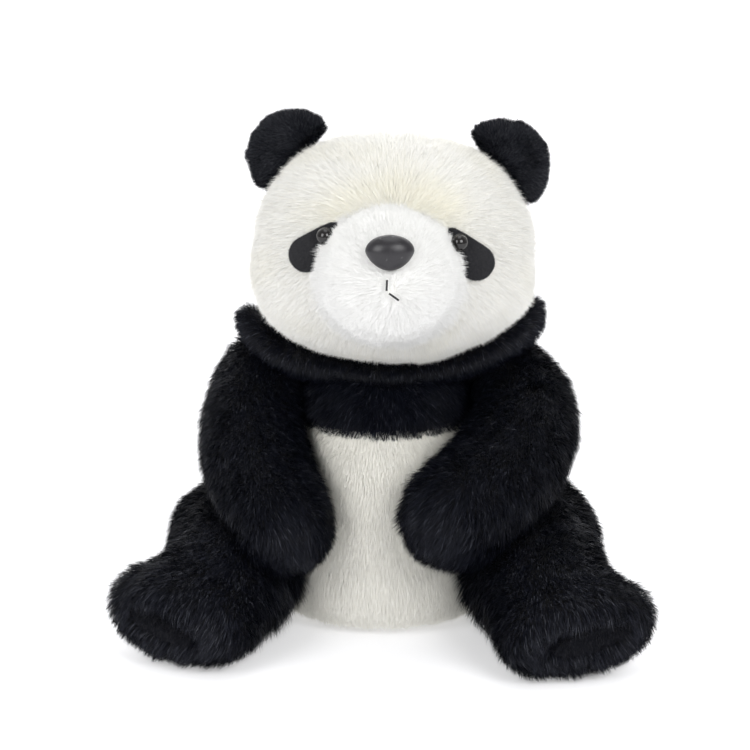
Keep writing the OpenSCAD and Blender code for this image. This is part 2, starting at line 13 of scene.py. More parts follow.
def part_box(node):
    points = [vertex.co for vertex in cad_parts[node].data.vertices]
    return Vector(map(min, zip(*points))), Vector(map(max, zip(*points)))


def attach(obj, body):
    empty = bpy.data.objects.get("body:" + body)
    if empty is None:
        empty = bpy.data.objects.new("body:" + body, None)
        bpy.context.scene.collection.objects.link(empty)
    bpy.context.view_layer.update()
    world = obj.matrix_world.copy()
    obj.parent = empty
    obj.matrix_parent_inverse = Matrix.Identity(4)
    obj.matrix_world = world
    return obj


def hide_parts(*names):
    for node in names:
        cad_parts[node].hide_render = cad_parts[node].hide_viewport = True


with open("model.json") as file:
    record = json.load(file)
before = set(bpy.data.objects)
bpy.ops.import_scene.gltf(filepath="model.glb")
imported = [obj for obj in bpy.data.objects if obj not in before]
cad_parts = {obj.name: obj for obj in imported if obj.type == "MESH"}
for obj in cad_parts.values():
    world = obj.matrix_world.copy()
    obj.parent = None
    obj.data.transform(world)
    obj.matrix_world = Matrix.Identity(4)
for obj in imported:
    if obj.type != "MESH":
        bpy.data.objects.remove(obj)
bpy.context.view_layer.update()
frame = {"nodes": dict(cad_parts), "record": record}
NODES = frame["nodes"]
MM = 0.001
SIDES = ("left", "right")

# The frame's own points, in metres, as in part.scad.
HEAD = np.array([6, -14, 226]) * MM
MUZZLE_FRONT = np.array([5, -98, 218]) * MM
ARM_PATH = {
    "left": np.array([[-73, 15, 144], [-79, -12, 120], [-72, -46, 94], [-58, -75, 76]]) * MM,
    "right": np.array([[75, 15, 142], [86, -16, 124], [67, -57, 99], [41, -86, 85]]) * MM,
}
LEG_PATH = {
    "left": np.array([[-88, -16, 47], [-94, -50, 42], [-103, -77, 36], [-117, -98, 31]]) * MM,
    "right": np.array([[89, -16, 48], [95, -56, 42], [103, -94, 36], [111, -119, 31]]) * MM,
}

# Strand roots, middles and tips are kept this far above the floor.
FLOOR_GAP = 0.0003
VOXEL = 0.0045
SKIN_INSET = 0.0042
FITTING_INSET = 0.0024
SWELL_CAP = 0.0016
SEAM_DEPTH = 0.0012
# How far a filling stays inside its skin.
FILLING_DEPTH = 0.0032


# ---------------------------------------------------------------- mesh helpers


def unit(v):
    """Rows of v at length one."""
    return v / np.maximum(np.linalg.norm(v, axis=-1, keepdims=True), 1e-12)


def points_of(mesh):
    co = np.empty(len(mesh.vertices) * 3, np.float32)
    mesh.vertices.foreach_get("co", co)
    return co.reshape(-1, 3).astype(float)


def normals_of(mesh):
    n = np.empty(len(mesh.vertices) * 3, np.float32)
    mesh.vertex_normals.foreach_get("vector", n)
    return n.reshape(-1, 3).astype(float)


def set_points(mesh, co):
    mesh.vertices.foreach_set("co", np.asarray(co, np.float32).ravel())
    mesh.update()


def triangles_of(mesh):
    mesh.calc_loop_triangles()
    tri = np.empty(len(mesh.loop_triangles) * 3, np.int32)
    mesh.loop_triangles.foreach_get("vertices", tri)
    return tri.reshape(-1, 3)


def new_object(name, mesh):
    obj = bpy.data.objects.new(name, mesh)
    bpy.context.scene.collection.objects.link(obj)
    return obj


def mesh_from(name, points, faces, smooth=True):
    mesh = bpy.data.meshes.new(name)
    mesh.from_pydata([tuple(p) for p in points], [], [tuple(f) for f in faces])
    mesh.polygons.foreach_set("use_smooth", [smooth] * len(mesh.polygons))
    mesh.update()
    return mesh


def joined(name, parts):
    """One mesh from several (points, faces) pairs or meshes."""
    points, faces = [], []
    for part in parts:
        if isinstance(part, tuple):
            co, polys = np.asarray(part[0]), part[1]
        else:
            co, polys = points_of(part), [tuple(p.vertices) for p in part.polygons]
        start = sum(len(p) for p in points)
        points.append(co)
        faces.extend(tuple(start + i for i in f) for f in polys)
    return mesh_from(name, np.vstack(points), faces)


def baked_modifier(obj, kind, **settings):
    """Adds a modifier to obj, applies it to its mesh and removes it."""
    mod = obj.modifiers.new(kind.lower(), kind)
    for key, value in settings.items():
        setattr(mod, key, value)
    apply_modifiers(obj)


def apply_modifiers(obj):
    bpy.context.view_layer.update()
    depsgraph = bpy.context.evaluated_depsgraph_get()
    mesh = bpy.data.meshes.new_from_object(obj.evaluated_get(depsgraph))
    obj.modifiers.clear()
    obj.data = mesh


def keep_largest_shell(mesh):
    """Removes the inner shells that a voxel remesh leaves behind."""
    bm = bmesh.new()
    bm.from_mesh(mesh)
    bm.verts.ensure_lookup_table()
    left, shells = set(bm.verts), []
    while left:
        stack, shell = [left.pop()], []
        while stack:
            v = stack.pop()
            shell.append(v)
            for e in v.link_edges:
                w = e.other_vert(v)
                if w in left:
                    left.remove(w)
                    stack.append(w)
        shells.append(shell)
    shells.sort(key=len)
    for shell in shells[:-1]:
        bmesh.ops.delete(bm, geom=shell, context="VERTS")
    bm.to_mesh(mesh)
    bm.free()


def relaxed(mesh, rounds, share=0.5):
    """Moves each point part of the way to the middle of its neighbours; share may differ by point."""
    edges = np.empty(len(mesh.edges) * 2, np.int32)
    mesh.edges.foreach_get("vertices", edges)
    edges = edges.reshape(-1, 2)
    co = points_of(mesh)
    count = np.bincount(edges.ravel(), minlength=len(co))[:, None]
    for _ in range(rounds):
        total = np.zeros_like(co)
        np.add.at(total, edges[:, 0], co[edges[:, 1]])
        np.add.at(total, edges[:, 1], co[edges[:, 0]])
        co += share * (total / np.maximum(count, 1) - co)
    set_points(mesh, co)


def waves(points, scale, seed, channels=3):
    """Smooth seeded noise, about -1 to 1, whose bumps are scale metres apart."""
    rng = np.random.default_rng(seed)
    out = np.zeros((len(points), channels))
    for _ in range(7):
        k = unit(rng.normal(size=(channels, 3))) * (2 * math.pi / scale)
        k = k * rng.uniform(0.6, 1.6, (channels, 1))
        out += np.sin(points @ k.T + rng.uniform(0, 2 * math.pi, channels))
    return out / 3.2


TREES = {}


def tree_of(node):
    """Search tree of a CAD node's surface, built once."""
    if node not in TREES:
        mesh = NODES[node].data
        TREES[node] = BVHTree.FromPolygons(
            [v.co.copy() for v in mesh.vertices], [tuple(f.vertices) for f in mesh.polygons]
        )
    return TREES[node]


def distance_to(nodes, points):
    """Distance from each point to the nearest surface of some CAD nodes."""
    best = np.full(len(points), 1.0)
    for name in nodes:
        tree = tree_of(name)
        for i, p in enumerate(points):
            hit = tree.find_nearest(p, min(best[i], 0.05))
            if hit[3] is not None:
                best[i] = min(best[i], hit[3])
    return best


def smooth_step(x, low, high):
    t = np.clip((x - low) / (high - low), 0, 1)
    return t * t * (3 - 2 * t)


def along(path, points):
    """Direction of a path at the place nearest to each point, and how far along that is, 0 to 1."""
    steps = np.linspace(0, 1, 60)
    knots = np.linspace(0, 1, len(path))
    dense = np.column_stack([np.interp(steps, knots, path[:, i]) for i in range(3)])
    lead = unit(np.gradient(dense, axis=0))
    near = np.argmin(((points[:, None] - dense[None]) ** 2).sum(-1), axis=1)
    return lead[near], steps[near], dense[near]


# ------------------------------------------------------------------ materials


class Nodes:
    """A material's node tree, with short ways to add and join its nodes."""

    def __init__(self, name, colour):
        self.material = bpy.data.materials.new(name)
        self.material.use_nodes = True
        self.material.diffuse_color = (*colour, 1)
        self.tree = self.material.node_tree
        self.shader = self.tree.nodes["Principled BSDF"]
        self.place = self.add("ShaderNodeTexCoord").outputs["Object"]

    def add(self, kind, links=None, **values):
        node = self.tree.nodes.new(kind)
        for key, value in values.items():
            if hasattr(node, key):
                setattr(node, key, value)
            else:
                node.inputs[key].default_value = value
        for key, source in (links or {}).items():
            self.tree.links.new(source, node.inputs[key])
        return node

    def noise(self, scale, detail=3.0, roughness=0.6):
        node = self.add("ShaderNodeTexNoise", {"Vector": self.place})
        node.inputs["Scale"].default_value = scale
        node.inputs["Detail"].default_value = detail
        node.inputs["Roughness"].default_value = roughness
        return node.outputs["Fac"]

    def spread(self, source, low, high):
        """Maps a value of about 0.3 to 0.7 onto low to high."""
        node = self.add("ShaderNodeMapRange", {"Value": source})
        node.inputs["From Min"].default_value = 0.3
        node.inputs["From Max"].default_value = 0.7
        node.inputs["To Min"].default_value = low
        node.inputs["To Max"].default_value = high
        return node.outputs["Result"]

    def mixed(self, factor, a, b, blend="MIX"):
        """Colour mix; a and b are sockets or colours."""
        node = self.tree.nodes.new("ShaderNodeMix")
        node.data_type = "RGBA"
        node.blend_type = blend
        for socket, value in ((node.inputs[0], factor), (node.inputs[6], a), (node.inputs[7], b)):
            if isinstance(value, bpy.types.NodeSocket):
                self.tree.links.new(value, socket)
            elif isinstance(value, (int, float)):
                socket.default_value = value
            else:
                socket.default_value = (*value, 1)
        return node.outputs[2]

    def finish(self, colour, roughness, height, bump_mm, strength=0.6, **constants):
        links, inputs = self.tree.links, self.shader.inputs
        links.new(colour, inputs["Base Color"])
        links.new(roughness, inputs["Roughness"])
        bump = self.add("ShaderNodeBump", {"Height": height})
        bump.inputs["Distance"].default_value = bump_mm * MM
        bump.inputs["Strength"].default_value = strength
        links.new(bump.outputs["Normal"], inputs["Normal"])
        for key, value in constants.items():
            inputs[key.replace("_", " ")].default_value = value
        return self.material


def strand_material(name, colour, roughness, sheen=0.0, sheen_tint=(1, 1, 1), specular=0.5):
    """Fur: each strand's colour comes from its mesh, painted root shade and painted highlights included, and
    fine noise varies it along the strand.
    """
    n = Nodes(name, colour)
    own = n.add("ShaderNodeAttribute", attribute_name="tint").outputs["Color"]
    fine = n.noise(420, 2)
    patchy = n.noise(38, 3)
    shade = n.mixed(n.spread(patchy, 0.0, 0.16), own, [c * 0.72 for c in colour])
    shade = n.mixed(n.spread(fine, 0.0, 0.2), shade, [min(1, c * 1.15 + 0.004) for c in colour])
    return n.finish(
        shade, n.spread(fine, roughness - 0.06, roughness + 0.08), n.noise(900, 1), 0.05, 0.25,
        Sheen_Weight=sheen, Sheen_Roughness=0.4, Sheen_Tint=(*sheen_tint, 1), Specular_IOR_Level=specular,
    )


def backing_material(name, colour, roughness=0.85, sheen=0.2):
    """Knitted backing cloth under the fur, with a fine loop pattern."""
    n = Nodes(name, colour)
    rows = n.add("ShaderNodeTexWave", {"Vector": n.place}, wave_type="BANDS")
    rows.inputs["Scale"].default_value = 260
    rows.inputs["Distortion"].default_value = 3
    blotch = n.noise(60, 4)
    shade = n.mixed(n.spread(blotch, 0, 1), [c * 0.8 for c in colour], colour)
    return n.finish(
        shade, n.spread(blotch, roughness - 0.08, min(1, roughness + 0.1)), rows.outputs["Fac"], 0.25, 0.7,
        Sheen_Weight=sheen, Sheen_Roughness=0.5,
    )


def felt_material(name, colour):
    n = Nodes(name, colour)
    fibre, tuft = n.noise(900, 5, 0.75), n.noise(130, 4)
    shade = n.mixed(n.spread(fibre, 0, 1), [c * 0.55 for c in colour], [c * 1.7 + 0.004 for c in colour])
    return n.finish(
        shade, n.spread(tuft, 0.82, 0.98), fibre, 0.3, 0.8,
        Sheen_Weight=0.18, Sheen_Roughness=0.6, Specular_IOR_Level=0.15,
    )


def plastic_material(name, colour, roughness, grain_scale, grain_mm, coat=0.0):
    n = Nodes(name, colour)
    grain, blotch = n.noise(grain_scale, 3, 0.55), n.noise(90, 3)
    shade = n.mixed(n.spread(blotch, 0, 1), [c * 0.85 for c in colour], [c * 1.12 for c in colour])
    return n.finish(
        shade, n.spread(blotch, roughness * 0.85, roughness * 1.2), grain, grain_mm, 0.5,
        Coat_Weight=coat, Coat_Roughness=0.08,
    )


def thread_material(name, colour):
    """Two-ply thread: a twist pattern across the thread with loose fibres."""
    n = Nodes(name, colour)
    twist = n.add("ShaderNodeTexWave", {"Vector": n.place}, wave_type="BANDS", bands_direction="DIAGONAL")
    twist.inputs["Scale"].default_value = 620
    twist.inputs["Distortion"].default_value = 1.2
    fibre = n.noise(1400, 3)
    shade = n.mixed(n.spread(fibre, 0, 1), [c * 0.7 for c in colour], [min(1, c * 1.3) for c in colour])
    return n.finish(shade, n.spread(fibre, 0.6, 0.85), twist.outputs["Fac"], 0.2, 0.9, Sheen_Weight=0.2)


def fibre_material(name, colour):
    """Loose polyester filling: matted fine fibres with soft hollows."""
    n = Nodes(name, colour)
    fibre, lump = n.noise(520, 6, 0.8), n.noise(70, 4)
    shade = n.mixed(n.spread(lump, 0, 1), [c * 0.82 for c in colour], colour)
    return n.finish(shade, n.spread(lump, 0.85, 1.0), fibre, 0.9, 1.0, Sheen_Weight=0.25)


WHITE = (0.895, 0.89, 0.85)
MUZZLE_WHITE = (0.92, 0.92, 0.90)
BELLY_WHITE = (0.96, 0.945, 0.87)
BLACK = (0.0016, 0.0023, 0.0062)
SOLE_BLACK = (0.0045, 0.005, 0.0085)

MATERIALS = {
    "white_fur": strand_material("white_fur", WHITE, 0.62, sheen=0.1),
    "muzzle_fur": strand_material("muzzle_fur", MUZZLE_WHITE, 0.6, sheen=0.1),
    "belly_fur": strand_material("belly_fur", BELLY_WHITE, 0.62, sheen=0.1),
    "black_fur": strand_material(
        "black_fur", BLACK, 0.42, sheen=0.01, sheen_tint=(0.6, 0.75, 1), specular=0.14,
    ),
    "sole_fur": strand_material(
        "sole_fur", SOLE_BLACK, 0.6, sheen=0.02, sheen_tint=(0.7, 0.8, 1), specular=0.1,
    ),
    "felt_fuzz": strand_material("felt_fuzz", (0.02, 0.02, 0.022), 0.7, sheen=0.08, specular=0.15),
    "white_backing": backing_material("white_backing", (0.93, 0.91, 0.85)),
    "muzzle_backing": backing_material("muzzle_backing", (0.94, 0.93, 0.89)),
    "belly_backing": backing_material("belly_backing", (0.91, 0.89, 0.82)),
    "black_backing": backing_material("black_backing", (0.003, 0.003, 0.004), 0.95, 0.0),
    "felt": felt_material("felt", (0.007, 0.007, 0.009)),
    "eye_plastic": plastic_material("eye_plastic", (0.008, 0.007, 0.007), 0.06, 300, 0.002),
    "nose_plastic": plastic_material("nose_plastic", (0.012, 0.011, 0.014), 0.36, 1500, 0.02),
    "washer_plastic": plastic_material("washer_plastic", (0.82, 0.82, 0.79), 0.45, 500, 0.02),
    "pellet_plastic": plastic_material("pellet_plastic", (0.80, 0.81, 0.83), 0.35, 800, 0.01),
    "black_thread": thread_material("black_thread", (0.012, 0.011, 0.012)),
    "white_thread": thread_material("white_thread", (0.80, 0.79, 0.74)),
    "fibrefill": fibre_material("fibrefill", (0.90, 0.90, 0.89)),
    "bag_cloth": backing_material("bag_cloth", (0.74, 0.72, 0.67), 0.8, 0.1),
}


def dress(obj, material, body=None, replaced=()):
    """Gives obj its material, and puts a new piece on its body."""
    obj.data.materials.clear()
    obj.data.materials.append(MATERIALS[material])
    if body:
        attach(obj, body)
    if replaced:
        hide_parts(*replaced)
    return obj


# ---------------------------------------------------------------- sewn skins


class Skin:
    """The cloth of one stuffed part: its cover and filling remeshed to one skin just inside the pile."""

    def __init__(
        self, name, covers, fillings, inset=SKIN_INSET, voxel=VOXEL, seams=None, shape=None, plug=None,
        fittings=(),
    ):
        """plug is a further solid that closes an opening; the skin lies closer to the CAD under fittings."""
        self.name = name
        self.covers = covers
        solids = [NODES[n].data for n in (*covers, *fillings)]
        self.obj = new_object(name, joined(name, solids + ([plug] if plug else [])))
        baked_modifier(self.obj, "REMESH", mode="VOXEL", voxel_size=voxel)
        keep_largest_shell(self.obj.data)
        relaxed(self.obj.data, 3)
        self.obj.data.update()
        co = points_of(self.obj.data)
        near = 1 - smooth_step(distance_to(fittings, co), 0.003, 0.013) if fittings else np.zeros(len(co))
        depth = inset + (FITTING_INSET - inset) * near
        set_points(self.obj.data, co - normals_of(self.obj.data) * depth[:, None])
        relaxed(self.obj.data, 2)
        if shape:
            shape(self)
        self.rest = points_of(self.obj.data)
        self.seam = seams(self) if seams else np.zeros(len(self.rest))

    def panel_seams(self):
        """1 on the line where two covers meet, 0 away from it."""
        gaps = np.sort(np.array([distance_to([n], self.rest) for n in self.covers]), axis=0)
        return 1 - smooth_step(gaps[1] - gaps[0], 0.001, 0.005)

    def start_cloth(self):
        """Cloth under air pressure, held at its seams."""
        held = self.obj.vertex_groups.new(name="seam")
        for i, w in enumerate(self.seam):
            if w > 0.02:
                held.add([i], float(w), "REPLACE")
        mod = self.obj.modifiers.new("cloth", "CLOTH")
        mod.settings.quality = 4
        mod.settings.mass = 0.2
        mod.settings.use_pressure = True
        mod.settings.uniform_pressure_force = 4
        mod.settings.tension_stiffness = 12
        mod.settings.compression_stiffness = 12
        mod.settings.bending_stiffness = 0.4
        mod.settings.vertex_group_mass = "seam"
        mod.settings.effector_weights.gravity = 0
        mod.point_cache.frame_start = 1
        mod.point_cache.frame_end = 20

    def end_cloth(self, simulated):
        if simulated:
            apply_modifiers(self.obj)
            moved = points_of(self.obj.data) - self.rest
            size = np.linalg.norm(moved, axis=1, keepdims=True)
            moved *= np.minimum(1, SWELL_CAP / np.maximum(size, 1e-9))
        else:
            moved = normals_of(self.obj.data) * SWELL_CAP * (1 - self.seam)[:, None]
        pulled = normals_of(self.obj.data) * (self.seam * SEAM_DEPTH)[:, None]
        set_points(self.obj.data, self.rest + moved - pulled)
        self.obj.data.polygons.foreach_set("use_smooth", [True] * len(self.obj.data.polygons))
        baked_modifier(self.obj, "SUBSURF", levels=1, render_levels=1)
        co = points_of(self.obj.data)
        co[:, 2] = np.maximum(co[:, 2], FLOOR_GAP * 2)
        set_points(self.obj.data, co)
        self.tree = BVHTree.FromPolygons(co.tolist(), [tuple(f.vertices) for f in self.obj.data.polygons])

    def draw_in(self, co, depth):
        """Moves points that aren't at least depth inside this skin to where they are."""
        for i, p in enumerate(co):
            spot, normal, _, _ = self.tree.find_nearest(p)
            if (Vector(p) - spot).dot(normal) > -depth:
                co[i] = spot - normal * depth
        return co

    def split(self, parts):
        """One object for each cover, cut where the nearest cover changes."""
        mesh = self.obj.data
        centres = np.empty(len(mesh.polygons) * 3, np.float32)
        mesh.polygons.foreach_get("center", centres)
        centres = centres.reshape(-1, 3).astype(float)
        owner = np.argmin(np.array([distance_to([n], centres) for n in self.covers]), axis=0)
        made = {}
        for index, cover in enumerate(self.covers):
            bm = bmesh.new()
            bm.from_mesh(mesh)
            bm.faces.ensure_lookup_table()
            away = [f for f in bm.faces if owner[f.index] != index]
            bmesh.ops.delete(bm, geom=away, context="FACES")
            piece = bpy.data.meshes.new(parts[cover])
            bm.to_mesh(piece)
            bm.free()
            made[cover] = new_object(parts[cover], piece)
        bpy.data.objects.remove(self.obj)
        return made


def limb_seams(path):
    """Two seams run along a limb, on its upper and its lower side."""

    def seams(skin):
        lead, _, centre = along(path, skin.rest)
        side = unit(np.cross(lead, np.array([0, 0, 1.0])))
        off = np.abs(((skin.rest - centre) * side).sum(1))
        return 1 - smooth_step(off, 0.0015, 0.005)

    return seams


def face_shape(skin):
    """Eases the muzzle into the cheeks, lifts the right jowl, and fills out the crown and ear roots."""
    mesh = skin.obj.data
    co = points_of(mesh)
    edge = np.abs(distance_to(["muzzle_cover"], co) - distance_to(["head_front_cover"], co))
    below = 1 - smooth_step(co[:, 2], 0.232, 0.250)
    reach = 0.003 + 0.009 * below
    ease = 1 - smooth_step(edge, 0.2 * reach, reach)
    ease *= smooth_step(-co[:, 1], 0.050, 0.062)
    relaxed(mesh, 26, (0.5 * ease)[:, None])
    co = points_of(mesh)
    out = unit(co - HEAD)
    sideways = smooth_step(co[:, 0] - HEAD[0], 0.020, 0.050)
    low = 1 - smooth_step(co[:, 2], 0.178, 0.203)
    co -= out * (0.0045 * sideways * low)[:, None]
    roots = 1 - smooth_step(distance_to(["ear_left_front", "ear_right_front"], co), 0.004, 0.034)
    crown = smooth_step(co[:, 2], 0.255, 0.280)
    co += out * (0.0050 * roots + 0.0018 * crown)[:, None]
    set_points(mesh, co)


def face_seams(skin):
    """The panel seams, the muzzle's outline above, and a seam down its middle below the nose."""
    near = {n: distance_to([n], skin.rest) for n in skin.covers}
    halves = np.abs(near["head_front_cover"] - near["head_back_cover"])
    rim = np.abs(near["head_front_cover"] - near["muzzle_cover"])
    across = 1 - smooth_step(halves, 0.001, 0.005)
    bridge = (1 - smooth_step(rim, 0.001, 0.005)) * smooth_step(skin.rest[:, 2], 0.236, 0.250)
    off = np.abs(skin.rest[:, 0] - MUZZLE_FRONT[0] + 0.001)
    low = smooth_step(MUZZLE_FRONT[2] + 0.012 - skin.rest[:, 2], 0.0, 0.006) * (skin.rest[:, 1] < -0.05)
    return np.maximum(across, np.maximum(bridge, 0.8 * (1 - smooth_step(off, 0.001, 0.006)) * low))


def leg_shape(path, shift):
    """Settles a leg towards the belly between its hip and its heel, and lets the toe sag."""

    def shape(skin):
        co = points_of(skin.obj.data)
        _, share, centre = along(path, co)
        outward = np.sign(path[0, 0])
        inner = smooth_step(-(co[:, 0] - centre[:, 0]) * outward, -0.005, 0.015)
        middle = smooth_step(share, 0.02, 0.3) * (1 - smooth_step(share, 0.7, 0.95) * (1 - inner))
        co[:, 0] -= outward * shift * middle * (0.5 + 0.5 * inner)
        co[:, 0] += outward * 0.0025 * smooth_step(share, 0.75, 1.0) * (1 - inner)
        co[:, 2] -= 0.002 * smooth_step(share, 0.6, 1.0) * smooth_step(co[:, 2], 0.0, 0.02)
        set_points(skin.obj.data, co)

    return shape


def ear_shape(skin):
    """Sets an ear a little deeper into the head and fills it out."""
    co = points_of(skin.obj.data)
    middle = co.mean(axis=0)
    inwards = unit(HEAD - middle) * np.array([1, 0, 1])
    set_points(skin.obj.data, co + (co - middle - inwards * 0.024) * 0.10 + inwards * 0.003)


TORSO_PANELS = ["chest_panel", "shoulder_back_panel", "belly_panel", "back_panel", "seat_panel"]
FACE_PANELS = ["head_front_cover", "head_back_cover", "muzzle_cover"]


def ellipsoid(centre, radii, steps=32):
    bm = bmesh.new()
    shape = Matrix.Translation(centre) @ Matrix.Diagonal((*radii, 1))
    bmesh.ops.create_uvsphere(bm, u_segments=steps, v_segments=steps // 2, radius=1.0, matrix=shape)
    mesh = bpy.data.meshes.new("ellipsoid")
    bm.to_mesh(mesh)
    bm.free()
    return mesh


FITTINGS = ["nose", "mouth_stitches", "eye_patch_left", "eye_patch_right"]
skins = {
    "torso": Skin(
        "torso_skin", TORSO_PANELS, ["torso_stuffing", "neck_stuffing"], seams=Skin.panel_seams,
        plug=ellipsoid((0, 0.018, 0.141), (0.050, 0.040, 0.012)),
    ),
    "head": Skin(
        "head_skin", FACE_PANELS, ["head_stuffing", "muzzle_stuffing"], inset=0.0040, seams=face_seams,
        shape=face_shape, fittings=FITTINGS,
    ),
    "tail": Skin("tail_skin", ["tail_cover"], ["tail_stuffing"], inset=0.003),
}
for side in SIDES:
    skins["arm_" + side] = Skin(
        f"arm_{side}_skin", [f"arm_{side}_cover"], [f"arm_{side}_stuffing"], seams=limb_seams(ARM_PATH[side])
    )
    skins["leg_" + side] = Skin(
        f"leg_{side}_skin", [f"leg_{side}_cover"], [f"leg_{side}_stuffing"], seams=limb_seams(LEG_PATH[side]),
        inset=0.0035, shape=leg_shape(LEG_PATH[side], 0.0050 if side == "left" else 0.0075),
    )
    skins["ear_" + side] = Skin(
        f"ear_{side}_skin", [f"ear_{side}_front", f"ear_{side}_back"], [], inset=0.0016, voxel=0.003,
        shape=ear_shape,
    )

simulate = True
if simulate:
    for skin in skins.values():
        skin.start_cloth()
    for step in range(1, 13):
        bpy.context.scene.frame_set(step)
for skin in skins.values():
    skin.end_cloth(simulate)
bpy.context.scene.frame_set(1)


# ------------------------------------------------------------------------ fur


def fur(name, skin, body, material, count, length, width, comb, lift=35, wild=0.3, clump=0.3,
        clump_mm=2.2, bend=0.35, keep=None, seed=1, tips=(), painted_root_shade=0.55, trim=None, soft=0.6, paint=None):
    """Tapered strands on skin, each darker at its root as painted shade. comb gives each root's lie, and keep
    the share of strands that grow there.
    tips are (share, colour) pairs for strands of another colour, such as cream strands, and grey strands
    painted as highlights; trim scales the length at each root;
    soft is how far a strand is shaded like the skin below it, and paint scales its colour at each root."""
    rng = np.random.default_rng(seed)
    mesh = skin.data
    tri, co, nor = triangles_of(mesh), points_of(mesh), normals_of(mesh)
    a, b, c = (co[tri[:, i]] for i in range(3))
    area = np.linalg.norm(np.cross(b - a, c - a), axis=1)
    density = 0.55 + 0.45 * smooth_step(-nor[tri[:, 0], 1], -0.6, 0.3)
    share = area * density
    pick = np.sort(rng.choice(len(tri), int(count), p=share / share.sum()))
    thick = density[pick][:, None] ** -0.7
    u, v = rng.random(len(pick)), rng.random(len(pick))
    flip = u + v > 1
    u[flip], v[flip] = 1 - u[flip], 1 - v[flip]
    weights = np.stack([1 - u - v, u, v], 1)[:, :, None]
    root = (co[tri[pick]] * weights).sum(1)
    normal = unit((nor[tri[pick]] * weights).sum(1))
    if keep is not None:
        grows = rng.random(len(root)) < keep(root, normal)
        root, normal, thick = root[grows], normal[grows], thick[grows]
    n = len(root)
    lie = unit(comb(root, normal)) + wild * (waves(root, 0.034, seed) + 0.6 * waves(root, 0.009, seed + 1))
    lie = lie + rng.normal(size=(n, 3)) * 0.7 * wild
    lie = unit(lie - (lie * normal).sum(1, keepdims=True) * normal)
    angle = np.radians(lift * (1 + 0.2 * waves(root, 0.02, seed + 2, 1)) + rng.normal(size=(n, 1)) * 9)
    long = length * rng.uniform(0.6, 1.12, (n, 1)) * (1 + 0.08 * waves(root, 0.015, seed + 3, 1))
    if trim is not None:
        long = long * trim(root)[:, None]
    start = unit(normal * np.sin(angle) + lie * np.cos(angle))
    end = unit(normal * np.sin(angle * (1 - bend)) + lie * np.cos(angle) + np.array([0, 0, -0.12]))
    middle = root + start * long * 0.5
    tip = middle + end * long * 0.5

    warped = root + waves(root, 0.008, seed + 4) * 0.0010
    cells = np.floor(warped / (clump_mm * MM)).astype(np.int64)
    key = (cells[:, 0] * 73856093) ^ (cells[:, 1] * 19349663) ^ (cells[:, 2] * 83492791)
    _, group = np.unique(key, return_inverse=True)
    size = np.bincount(group)[:, None]
    centre = np.stack([np.bincount(group, tip[:, i]) for i in range(3)], 1) / size
    tip = tip + clump * rng.uniform(0.3, 1.3, (n, 1)) * (centre[group] - tip)
    root = root - normal * 0.0006

    strand = unit(tip - root)
    across = unit(np.cross(strand, normal) + 0.35 * rng.normal(size=(n, 3)))
    facing = unit(np.cross(across, strand))
    outward = np.where((facing * normal).sum(1, keepdims=True) < 0, -1.0, 1.0)
    across, facing = across * outward, facing * outward
    half = across * width * thick * 0.5 * rng.uniform(0.7, 1.25, (n, 1))
    points = np.stack([root - half, root + half, middle - half * 0.8, middle + half * 0.8, tip], 1)
    points[..., 2] = np.maximum(points[..., 2], FLOOR_GAP)
    first = (np.arange(n) * 5)[:, None]
    loops = np.hstack([first + np.array([0, 1, 3, 2]), first + np.array([2, 3, 4])]).ravel()

    made = bpy.data.meshes.new(name)
    made.vertices.add(n * 5)
    made.vertices.foreach_set("co", points.astype(np.float32).ravel())
    made.loops.add(len(loops))
    made.loops.foreach_set("vertex_index", loops.astype(np.int32))
    made.polygons.add(n * 2)
    starts = (np.arange(n) * 7)[:, None] + np.array([0, 4])
    made.polygons.foreach_set("loop_start", starts.ravel().astype(np.int32))
    made.polygons.foreach_set("use_smooth", np.ones(n * 2, bool))
    made.update(calc_edges=True)
    low = unit(soft * normal + (1 - soft) * facing + 0.06 * rng.normal(size=(n, 3)))
    high = unit(low + 0.25 * strand)
    made.normals_split_custom_set_from_vertices(
        np.stack([low, low, low, low, high], 1).reshape(-1, 3).astype(np.float32)
    )

    base = np.tile(np.array(COLOURS[material]), (n, 1))
    roll = rng.random(n)
    for share, colour in tips:
        base[roll < share] = colour
        roll = np.where(roll < share, 2, roll - share)
    base = base * rng.uniform(0.9, 1.06, (n, 1))
    if paint is not None:
        base = base * paint(root)
    # Painted shade: each strand is darker at its root, where the pile shades itself.
    shades = np.stack([base * painted_root_shade, base * painted_root_shade, base, base, base], 1).reshape(-1, 3)
    tint = made.attributes.new("tint", "FLOAT_COLOR", "POINT")
    colours = np.column_stack([np.clip(shades, 0, 1), np.ones(n * 5)])
    tint.data.foreach_set("color", colours.astype(np.float32).ravel())

    side = math.ceil(math.sqrt(n))
    column, row = np.arange(n) % side, np.arange(n) // side
    corner = np.array([[0.2, 0.1], [0.8, 0.1], [0.2, 0.5], [0.8, 0.5], [0.5, 0.9]])
    uv = (np.stack([column, row], 1)[:, None] + corner) / side
    layer = made.uv_layers.new(name="OFBake")
    layer.data.foreach_set("uv", uv.reshape(-1, 2)[loops].astype(np.float32).ravel())
    return dress(new_object(name, made), material, body)


COLOURS = {
    "white_fur": WHITE,
    "muzzle_fur": MUZZLE_WHITE,
    "belly_fur": BELLY_WHITE,
    "black_fur": BLACK,
    "sole_fur": SOLE_BLACK,
    "felt_fuzz": (0.013, 0.013, 0.016),
}
# Painted highlights: shares of black strands coloured grey to stand in for glints on the fur, the feet and
# the ears.
PAINTED_GLINTS = ((0.03, (0.075, 0.08, 0.10)), (0.2, (0.015, 0.017, 0.027)))
FOOT_PAINTED_GLINTS = ((0.06, (0.095, 0.10, 0.12)), (0.28, (0.025, 0.027, 0.039)))
EAR_PAINTED_GLINTS = ((0.18, (0.060, 0.063, 0.072)), (0.35, (0.022, 0.0235, 0.030)))
CREAM = ((0.25, (0.90, 0.88, 0.81)),)


def down(root, normal):
    return np.tile(np.array([0, 0, -1.0]), (len(root), 1))


